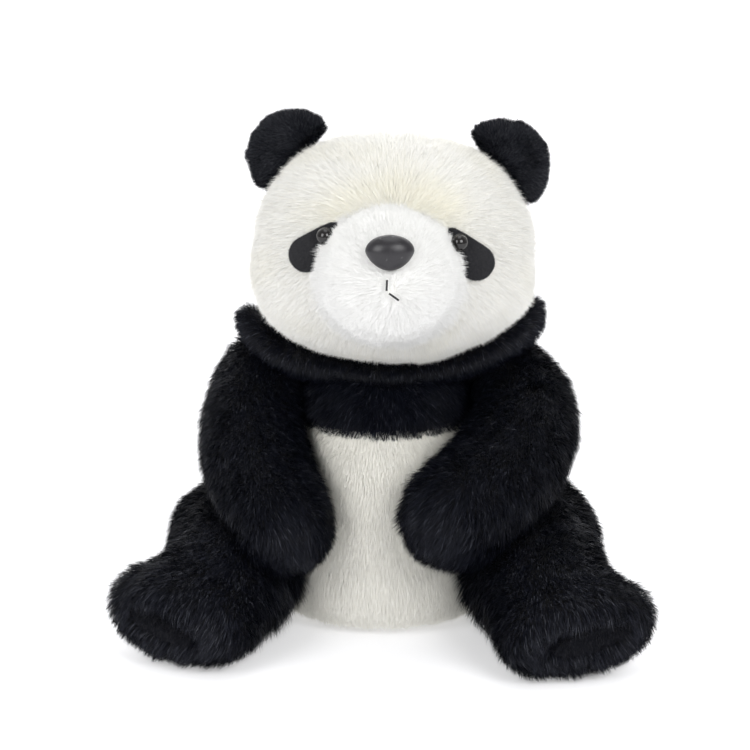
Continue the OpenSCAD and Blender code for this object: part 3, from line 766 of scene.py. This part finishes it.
def away_from(point, drop=0.0):
    """Combed outwards from a point, and a little downwards."""

    def comb(root, normal):
        return unit(root - np.array(point)) + np.array([0, 0, -drop])

    return comb


def down_limb(path, drop=0.25, spread=0.0):
    """Combed along a limb's path and downwards; spread turns it outwards near the end."""

    def comb(root, normal):
        lead, share, centre = along(path, root)
        out = unit(root - centre)
        return lead + np.array([0, 0, -drop]) + out * (spread * smooth_step(share, 0.5, 1.0))[:, None]

    return comb


def clear_of(nodes, low, high):
    """No strands closer than low to these nodes, and all of them beyond high."""

    def keep(root, normal):
        return smooth_step(distance_to(nodes, root), low, high)

    return keep


def shorter_near(nodes, reach, least):
    def trim(root):
        return least + (1 - least) * smooth_step(distance_to(nodes, root), 0.0, reach)

    return trim


# Head: front and back panels in white, combed up and out from the bridge of the nose.
BRIDGE = MUZZLE_FRONT + np.array([0, 0.03, 0.02])
PATCHES = ["eye_patch_left", "eye_patch_right"]
head_parts = skins["head"].split({n: n.replace("cover", "skin") for n in FACE_PANELS})
for cover in FACE_PANELS:
    fabric = "muzzle_backing" if cover == "muzzle_cover" else "white_backing"
    dress(head_parts[cover], fabric, "head", [cover])
muzzle = head_parts["muzzle_cover"]


def longer_near(nodes, reach, most):
    def trim(root):
        return most - (most - 1) * smooth_step(distance_to(nodes, root), 0.0, reach)

    return trim


def both(*parts):
    """Several trims multiplied together."""

    def trim(root):
        return np.prod([part(root) for part in parts], axis=0)

    return trim


def under_chin(root):
    """Shorter pile where the head rests on the yoke."""
    return 0.75 + 0.25 * smooth_step(root[:, 2], 0.166, 0.195)


def painted_brow_shade_and_cream(root):
    """A creamy cast over the brow above the muzzle, painted shade for the crease there, and the fur's own
    cream tone in soft patches elsewhere.
    """
    brow = MUZZLE_FRONT + np.array([0, 0.03, 0.040])
    off = np.linalg.norm((root - brow) / np.array([0.034, 0.05, 0.014]), axis=1)
    patches = smooth_step(waves(root, 0.05, 91, 1)[:, 0], 0.1, 0.9)
    cast = 0.75 * (1 - smooth_step(off, 0.6, 1.5)) + 0.25 * patches
    return 1 - cast[:, None] * np.array([0.015, 0.035, 0.13])


for layer in (1, 2):
    fur(
        f"head_front_fur_{layer}", head_parts["head_front_cover"], "head", "white_fur",
        65000, 0.0090, 0.00027, away_from(BRIDGE, 0.25), lift=34, wild=0.08, clump=0.14, bend=0.3,
        painted_root_shade=0.98, tips=CREAM, soft=0.8, seed=10 + layer, keep=clear_of(PATCHES, 0.0022, 0.0032),
        paint=painted_brow_shade_and_cream,
        trim=both(shorter_near(PATCHES, 0.012, 0.45), under_chin),
    )
fur(
    "head_back_fur", head_parts["head_back_cover"], "head", "white_fur", 64000, 0.0092, 0.0004,
    away_from(BRIDGE, 0.25), lift=33, wild=0.1, clump=0.15, bend=0.3, painted_root_shade=0.98, tips=CREAM,
    seed=13, soft=0.8, trim=under_chin, paint=painted_brow_shade_and_cream,
)


def muzzle_comb(root, normal):
    """Outwards from under the nose, and down over the lips."""
    lie = unit(root - (MUZZLE_FRONT + np.array([0, 0, 0.002])))
    return lie + np.array([0, 0, -0.15])


def rim_longer(root):
    """Longer pile at the muzzle's rim, which hides its seam, but not above the eye patches."""
    rim = 1 - smooth_step(distance_to(["head_front_cover"], root), 0.004, 0.014)
    low = 1 - smooth_step(root[:, 2], 0.205, 0.225)
    return 1 + 0.35 * rim * low


for layer in (1, 2):
    fur(
        f"muzzle_fur_{layer}", muzzle, "head", "muzzle_fur", 52000, 0.0082, 0.00024,
        muzzle_comb, lift=32, wild=0.09, clump=0.18, bend=0.3, painted_root_shade=0.98, seed=14 + 2 * layer, soft=0.75,
        keep=clear_of(["nose"], 0.0002, 0.0008),
        trim=both(
            shorter_near(["nose"], 0.010, 0.35), shorter_near(["mouth_stitches"], 0.007, 0.3),
            shorter_near(PATCHES, 0.010, 0.8), rim_longer,
        ),
    )


def under_nose(root, normal):
    """Only round the lower half of the nose."""
    low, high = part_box("nose")
    below = smooth_step((low[2] + high[2]) / 2 + 0.001 - root[:, 2], 0, 0.004)
    return below * (1 - smooth_step(distance_to(["nose"], root), 0.0025, 0.0050))


def towards(point):
    def comb(root, normal):
        return unit(np.array(point) - root)

    return comb


fur(
    "nose_fringe", muzzle, "head", "muzzle_fur", 90000, 0.0165, 0.00022,
    towards(np.mean([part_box("nose")[0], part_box("nose")[1]], axis=0)), lift=58, wild=0.12, clump=0.4,
    bend=0.5, painted_root_shade=0.97, seed=19, keep=under_nose,
)

for side in SIDES:
    parts = skins["ear_" + side].split({f"ear_{side}_{f}": f"ear_{side}_{f}_skin" for f in ("front", "back")})
    low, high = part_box(f"ear_{side}_front")
    base = HEAD + (np.array((low + high) / 2) - HEAD) * 0.72
    for number, face in enumerate(("front", "back")):
        node = f"ear_{side}_{face}"
        part = dress(parts[node], "black_backing", "ear_" + side, [node])
        fur(
            node + "_fur", part, "ear_" + side, "black_fur", 26000, 0.0062, 0.00028, away_from(base),
            lift=58, wild=0.5, clump=0.6, clump_mm=1.8, soft=0.4, tips=EAR_PAINTED_GLINTS,
            seed=21 + number + 2 * SIDES.index(side),
        )

# Torso: black yoke, white belly, back and seat.
torso_parts = skins["torso"].split({n: n.replace("panel", "skin") for n in TORSO_PANELS})
TORSO_FUR = {
    "chest_panel": ("black", 34000, 0.011), "shoulder_back_panel": ("black", 30000, 0.012),
    "belly_panel": ("belly", 65000, 0.0085), "back_panel": ("belly", 44000, 0.010),
    "seat_panel": ("belly", 6000, 0.006),
}


def belly_comb(root, normal):
    return down(root, normal) + np.array([0.05, -0.2, 0])


def top_edge(root, normal):
    """Only along the belly's seam with the yoke."""
    return 1 - smooth_step(distance_to(["chest_panel"], root), 0.0040, 0.0070)


ARMPITS = longer_near(["arm_left_cover", "arm_right_cover"], 0.014, 1.7)
TRIMS = {
    "chest_panel": both(shorter_near(["belly_panel"], 0.012, 0.4), ARMPITS), "shoulder_back_panel": ARMPITS,
}
for number, (cover, (colour, count, length)) in enumerate(TORSO_FUR.items()):
    part = dress(torso_parts[cover], colour + "_backing", "torso", [cover])
    white = colour == "belly"
    fur(
        cover.replace("panel", "fur"), part, "torso", colour + "_fur", count, length,
        0.00034, belly_comb if cover == "belly_panel" else down, soft=0.85 if white else 0.45,
        lift=34 if white else 44, wild=0.08 if white else 0.22, clump=0.12 if white else 0.35,
        painted_root_shade=0.98 if white else 0.6, tips=CREAM if white else PAINTED_GLINTS, seed=31 + number,
        trim=TRIMS.get(cover),
    )

fur(
    "belly_fur_under", torso_parts["belly_panel"], "torso", "belly_fur", 65000, 0.0075, 0.0004,
    belly_comb, soft=0.9, lift=30, wild=0.06, clump=0.05, painted_root_shade=0.98, tips=CREAM, seed=36,
)
fur(
    "belly_fringe", torso_parts["belly_panel"], "torso", "belly_fur", 60000, 0.0048, 0.00026,
    lambda root, normal: -down(root, normal), lift=48, wild=0.2, clump=0.3, painted_root_shade=0.97, tips=CREAM,
    seed=37, keep=top_edge,
)

tail = dress(skins["tail"].obj, "belly_backing", "tail", ["tail_cover"])
fur(
    "tail_fur", tail, "tail", "belly_fur", 8000, 0.010, 0.0004, away_from(np.array([0, 0.07, 0.036])),
    lift=40, wild=0.12, clump=0.2, painted_root_shade=0.98, tips=CREAM, seed=39, soft=0.8,
)


def inner_thigh(path):
    """Longer pile where the thigh lies against the belly, low down."""

    def trim(root):
        _, share, centre = along(path, root)
        inner = smooth_step(-(root[:, 0] - centre[:, 0]) * np.sign(path[0, 0]), 0.008, 0.022)
        low = 1 - smooth_step(root[:, 2], 0.035, 0.055)
        return 1 + 0.85 * inner * low * (1 - smooth_step(share, 0.5, 0.9))

    return trim


ARM_PILE = {"left": 0.0100, "right": 0.0108}
for number, side in enumerate(SIDES):
    arm = dress(skins["arm_" + side].obj, "black_backing", "arm_" + side, [f"arm_{side}_cover"])
    fur(
        f"arm_{side}_fur", arm, "arm_" + side, "black_fur", 65000, ARM_PILE[side], 0.00032,
        down_limb(ARM_PATH[side], 0.35, 0.3), lift=46, wild=0.2, clump=0.32, soft=0.4, tips=PAINTED_GLINTS,
        seed=41 + number,
    )
    leg = dress(skins["leg_" + side].obj, "black_backing", "leg_" + side, [f"leg_{side}_cover"])
    fur(
        f"leg_{side}_fur", leg, "leg_" + side, "black_fur", 66000, 0.0105, 0.00034,
        down_limb(LEG_PATH[side], 0.4, 0.25), lift=42, wild=0.18, clump=0.32, tips=FOOT_PAINTED_GLINTS,
        seed=45 + number, soft=0.4, keep=clear_of(["sole_" + side], 0.0005, 0.002),
        trim=inner_thigh(LEG_PATH[side]),
    )


def fabric_roll(name, path, radii, steps=20, per_span=6):
    """A stuffed roll of cloth along a path, with a radius at each of its points, closed at both ends."""
    path, radii = np.asarray(path, float) * MM, np.asarray(radii, float) * MM
    knots = np.linspace(0, len(path) - 1, (len(path) - 1) * per_span + 1)

    def smooth_at(values, t):
        i = np.clip(np.floor(t).astype(int), 0, len(values) - 2)
        f = (t - i)[:, None]
        p = [values[np.clip(i + k, 0, len(values) - 1)] for k in (-1, 0, 1, 2)]
        return 0.5 * (
            2 * p[1] + (p[2] - p[0]) * f + (2 * p[0] - 5 * p[1] + 4 * p[2] - p[3]) * f ** 2
            + (3 * p[1] - p[0] - 3 * p[2] + p[3]) * f ** 3
        )

    line = smooth_at(path, knots)
    size = smooth_at(radii[:, None], knots)
    lead = unit(np.gradient(line, axis=0))
    side = unit(np.cross(lead, np.array([0, 1.0, 0.2])))
    rise = np.cross(side, lead)
    turn = np.linspace(0, 2 * math.pi, steps, endpoint=False)
    points = [
        line[i] + size[i] * (math.cos(t) * side[i] + math.sin(t) * rise[i])
        for i in range(len(line)) for t in turn
    ]
    faces = [
        (i * steps + j, i * steps + (j + 1) % steps, (i + 1) * steps + (j + 1) % steps, (i + 1) * steps + j)
        for i in range(len(line) - 1) for j in range(steps)
    ]
    faces += [tuple(range(steps))[::-1], tuple((len(line) - 1) * steps + j for j in range(steps))]
    mesh = mesh_from(name, points, faces)
    bm = bmesh.new()
    bm.from_mesh(mesh)
    bmesh.ops.recalc_face_normals(bm, faces=bm.faces)
    bm.to_mesh(mesh)
    bm.free()
    return new_object(name, mesh)


# The yoke's turned-in neck edge, which ends in a pointed corner of cloth beside each cheek.
COLLAR = [
    [-82, 11, 183], [-80, 8, 177], [-73, 2, 170], [-62, -4, 162], [-46, -8, 157], [-26, -12, 154],
    [2, -20, 152], [30, -12, 154], [50, -8, 158], [68, -4, 166], [81, 2, 174], [88, 8, 182], [90, 11, 189],
]
COLLAR_RADII = [3.5, 5.5, 7, 8, 7.5, 6.5, 6, 6.5, 7.5, 9, 8.5, 7, 4]
COLLAR_BACK = [
    [-82, 12, 183], [-78, 16, 176], [-66, 24, 168], [-50, 32, 163], [-28, 41, 161], [2, 46, 161],
    [32, 41, 161], [54, 32, 164], [67, 23, 171], [80, 17, 179], [89, 12, 188],
]
COLLAR_BACK_RADII = [3.5, 6, 8, 9, 9.5, 9.5, 9.5, 9, 8.5, 7.5, 4]
for number, (name, path, radii) in enumerate((
    ("yoke_collar", COLLAR, COLLAR_RADII), ("yoke_collar_back", COLLAR_BACK, COLLAR_BACK_RADII),
)):
    collar = dress(fabric_roll(name, path, radii), "black_backing", "torso")
    fur(
        name + "_fur", collar, "torso", "black_fur", 24000, 0.0070, 0.00034, away_from(HEAD), lift=46,
        wild=0.3, clump=0.35, tips=PAINTED_GLINTS, seed=49 + number,
    )


# ------------------------------------------------- felt, soles and small parts


def copy_of(node, name, levels=1, ripple=0.0, scale=0.006, seed=5):
    """A finer copy of a CAD node's shape, with a slightly uneven surface."""
    obj = new_object(name, NODES[node].data.copy())
    baked_modifier(obj, "WELD", merge_threshold=0.00002)
    baked_modifier(obj, "SUBSURF", levels=levels, render_levels=levels, subdivision_type="SIMPLE")
    mesh = obj.data
    mesh.polygons.foreach_set("use_smooth", [True] * len(mesh.polygons))
    co = points_of(mesh)
    set_points(mesh, co + normals_of(mesh) * waves(co, scale, seed, 1) * ripple)
    return obj


for number, side in enumerate(SIDES):
    patch = dress(
        copy_of(f"eye_patch_{side}", f"eye_patch_{side}_felt", 2, 0.00006, 0.003, 51 + number),
        "felt", "head", [f"eye_patch_{side}"],
    )
    fuzz = fur(
        f"eye_patch_{side}_fuzz", patch, "head", "felt_fuzz", 5000, 0.0011, 0.00012, away_from(BRIDGE),
        lift=30, wild=0.9, clump=0.1, seed=53 + number,
    )
    sole = dress(
        copy_of(f"sole_{side}", f"sole_{side}_pad", 2, 0.0003, 0.012, 55 + number),
        "black_backing", "leg_" + side, ["sole_" + side],
    )
    pile = fur(
        f"sole_{side}_pile", sole, "leg_" + side, "sole_fur", 9000, 0.0032, 0.0004, down,
        lift=62, wild=0.3, clump=0.35, seed=57 + number, tips=((0.1, (0.03, 0.03, 0.034)),),
    )


def axis_frame(node):
    """Apex and outward direction of a turned part, found from its own mesh."""
    co = points_of(NODES[node].data)
    tri = triangles_of(NODES[node].data)
    a, b, c = (co[tri[:, i]] for i in range(3))
    area = np.linalg.norm(np.cross(b - a, c - a), axis=1)[:, None]
    middle = (a + b + c) / 3
    centre = (middle * area).sum(0) / area.sum()
    spread = ((middle - centre) * area).T @ (middle - centre)
    values, vectors = np.linalg.eigh(spread)
    odd = 0 if values[1] - values[0] > values[2] - values[1] else 2
    out = vectors[:, odd]
    out = out if out[1] < 0 else -out
    reach = ((co - centre) @ out).max()
    return centre + out * reach, out


def turned(name, profile, place, out, steps=64, shape=None):
    """A solid of revolution about out, its profile (radius, height) from place. shape bends each ring."""
    up = np.array([0, 0, 1.0])
    x = unit(np.cross(up, out))
    y = np.cross(out, x)
    turn = np.linspace(0, 2 * math.pi, steps, endpoint=False)
    points = []
    for radius, height in profile:
        for t in turn:
            u, v = (radius * math.cos(t), radius * math.sin(t))
            if shape:
                u, v = shape(u, v)
            points.append(place + x * u + y * v + out * height)
    faces = []
    for i in range(len(profile) - 1):
        for j in range(steps):
            k = (j + 1) % steps
            faces.append((i * steps + j, i * steps + k, (i + 1) * steps + k, (i + 1) * steps + j))
    faces.append(tuple(range(steps))[::-1])
    faces.append(tuple((len(profile) - 1) * steps + j for j in range(steps)))
    return new_object(name, mesh_from(name, points, faces))


def dome(radius, rise, rings=14):
    """Profile of a dome, from its rim to its top."""
    turn = np.linspace(0, math.pi / 2 * 0.985, rings)
    return [(radius * math.cos(t), rise * math.sin(t)) for t in turn]


for side in SIDES:
    apex, out = axis_frame(f"eye_{side}")
    rise, r = 0.0042, 0.005
    profile = [(0.002, -0.016), (0.002, -0.0018), (r * 0.96, -0.0018), (r * 1.04, -0.0012)]
    profile += [(r * 1.05, -0.0004), (r * 1.01, 0.0001), (r * 0.97, 0.0)]
    profile += [(a * 0.96, b) for a, b in dome(r, rise)]
    eye = turned(f"eye_{side}_dome", profile, apex - out * rise, out)
    dress(eye, "eye_plastic", "head", [f"eye_{side}"])

low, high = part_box("nose")
nose_place = np.array([(low[0] + high[0]) / 2, low[1], (low[2] + high[2]) / 2 + 0.0012])
out = unit(np.array([0.03, -1.0, 0.10]))


def nose_shape(u, v):
    """A rounded oval, fuller above and drawn to a soft point below."""
    narrow = 1 - 0.22 * max(0.0, -v / 0.011)
    return u * narrow, v * (0.9 if v > 0 else 1.08)


nose_r = (high[0] - low[0]) / 2 * 0.94
nose_profile = [(0.003, -0.022), (0.003, -0.008), (nose_r * 0.9, -0.0085)]
nose_profile += [(a, b - 0.0075) for a, b in dome(nose_r, 0.0078, 18)]
nose = turned(
    "nose_button", nose_profile, nose_place, out, 96,
    lambda u, v: nose_shape(u, v * 0.74),
)
dress(nose, "nose_plastic", "head", ["nose"])

for node, material in {
    "eye_washer_left": "washer_plastic", "eye_washer_right": "washer_plastic",
    "nose_washer": "washer_plastic", "mouth_stitches": "black_thread", "closing_stitches": "white_thread",
}.items():
    dress(NODES[node], material)


# -------------------------------------------------------------------- filling


def filling(node, body, skin, material="fibrefill", lump=0.0016, voxel=0.006):
    """Filling as a lumpy mass in the place of its CAD solid, drawn in so that it stays inside its skin."""
    name = node + "_fibre" if material == "fibrefill" else node + "_cloth"
    obj = new_object(name, NODES[node].data.copy())
    baked_modifier(obj, "REMESH", mode="VOXEL", voxel_size=voxel)
    keep_largest_shell(obj.data)
    relaxed(obj.data, 2)
    mesh = obj.data
    co = points_of(mesh)
    inward = lump * (0.55 + 0.45 * waves(co, 0.02, 61, 1)) + 0.0022
    set_points(mesh, skins[skin].draw_in(co - normals_of(mesh) * inward, FILLING_DEPTH))
    mesh.polygons.foreach_set("use_smooth", [True] * len(mesh.polygons))
    dress(obj, material, body, [node])
    return obj


FILLED = {
    "torso_stuffing": "torso", "neck_stuffing": "torso", "tail_stuffing": "tail", "head_stuffing": "head",
    "muzzle_stuffing": "head",
}
for side in SIDES:
    FILLED[f"arm_{side}_stuffing"] = "arm_" + side
    FILLED[f"leg_{side}_stuffing"] = "leg_" + side
body_of_node = {n: b for b, ns in frame["record"]["behaviour"]["bodies"].items() for n in ns}
for node, skin in FILLED.items():
    filling(node, body_of_node[node], skin)
filling("pellet_bag", body_of_node["pellet_bag"], "torso", "bag_cloth", 0.0005, 0.002)

rng = np.random.default_rng(71)
low, high = (np.array(v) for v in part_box("pellets"))
tree = tree_of("pellets")
bm = bmesh.new()
placed = 0
while placed < 260:
    p = rng.uniform(low, high)
    spot, normal, _, gap = tree.find_nearest(p)
    if gap < 0.0024 or (Vector(p) - spot).dot(normal) > 0:
        continue
    turn = Matrix.Rotation(rng.uniform(0, math.pi), 4, unit(rng.normal(size=3)))
    shape = Matrix.Translation(p) @ turn @ Matrix.Diagonal((0.0021, 0.0016, 0.0018, 1))
    bmesh.ops.create_icosphere(bm, subdivisions=2, radius=1.0, matrix=shape)
    placed += 1
pellets = bpy.data.meshes.new("pellet_grains")
bm.to_mesh(pellets)
bm.free()
pellets.polygons.foreach_set("use_smooth", [True] * len(pellets.polygons))
dress(new_object("pellet_grains", pellets), "pellet_plastic", body_of_node["pellets"], ["pellets"])


# ------------------------------------------------------ floor, light and camera


def floor_material():
    n = Nodes("studio_floor", (0.8, 0.8, 0.81))
    fine = n.noise(3, 2)
    shade = n.mixed(n.spread(fine, 0, 1), (0.79, 0.79, 0.81), (0.8, 0.8, 0.82))
    n.finish(shade, n.spread(fine, 0.85, 0.95), fine, 0.01, 0.1, Specular_IOR_Level=0.1)
    n.shader.inputs["Emission Color"].default_value = (1, 1, 1, 1)
    n.shader.inputs["Emission Strength"].default_value = 0.42
    return n.material


floor_mesh = mesh_from("floor", [(-6, -6, 0), (6, -6, 0), (6, 6, 0), (-6, 6, 0)], [(0, 1, 2, 3)])
floor = new_object("floor", floor_mesh)
floor.data.materials.append(floor_material())

world = bpy.data.worlds.new("studio")
world.use_nodes = True
sky = world.node_tree
direction = sky.nodes.new("ShaderNodeTexCoord").outputs["Generated"]
parts_of = sky.nodes.new("ShaderNodeSeparateXYZ")
sky.links.new(direction, parts_of.inputs[0])
backdrop = sky.nodes.new("ShaderNodeMapRange")
for key, value in {"From Min": -0.15, "From Max": 0.55, "To Min": 0.42, "To Max": 1.02}.items():
    backdrop.inputs[key].default_value = value
sky.links.new(parts_of.outputs["Y"], backdrop.inputs["Value"])
sky.nodes["Background"].inputs["Color"].default_value = (1, 1, 1, 1)
sky.links.new(backdrop.outputs["Result"], sky.nodes["Background"].inputs["Strength"])
bpy.context.scene.world = world


def softbox(name, place, aim, size, watts):
    light = bpy.data.lights.new(name, "AREA")
    light.shape = "RECTANGLE"
    light.size, light.size_y = size
    light.energy = watts
    obj = bpy.data.objects.new(name, light)
    bpy.context.scene.collection.objects.link(obj)
    obj.location = place
    obj.rotation_euler = (Vector(aim) - Vector(place)).to_track_quat("-Z", "Y").to_euler()


softbox("key", (1.0, -1.7, 1.3), (0, 0, 0.12), (1.1, 1.1), 25)
softbox("fill", (-1.2, -1.6, 1.1), (0, 0, 0.12), (1.0, 1.2), 20)
softbox("top", (0.1, 0.0, 1.9), (0, 0, 0.1), (1.4, 1.0), 7)
softbox("backdrop", (0, 4.0, 2.6), (0, 4.2, 0), (6, 3), 110)

camera = bpy.data.cameras.new("camera")
camera.lens = 128
camera.sensor_width = 36
view = bpy.data.objects.new("camera", camera)
bpy.context.scene.collection.objects.link(view)
view.location = (-0.005, -1.5525, 0.5335)
view.rotation_euler = (math.radians(76), 0, 0)
bpy.context.scene.camera = view
bpy.context.scene.view_settings.view_transform = "Standard"
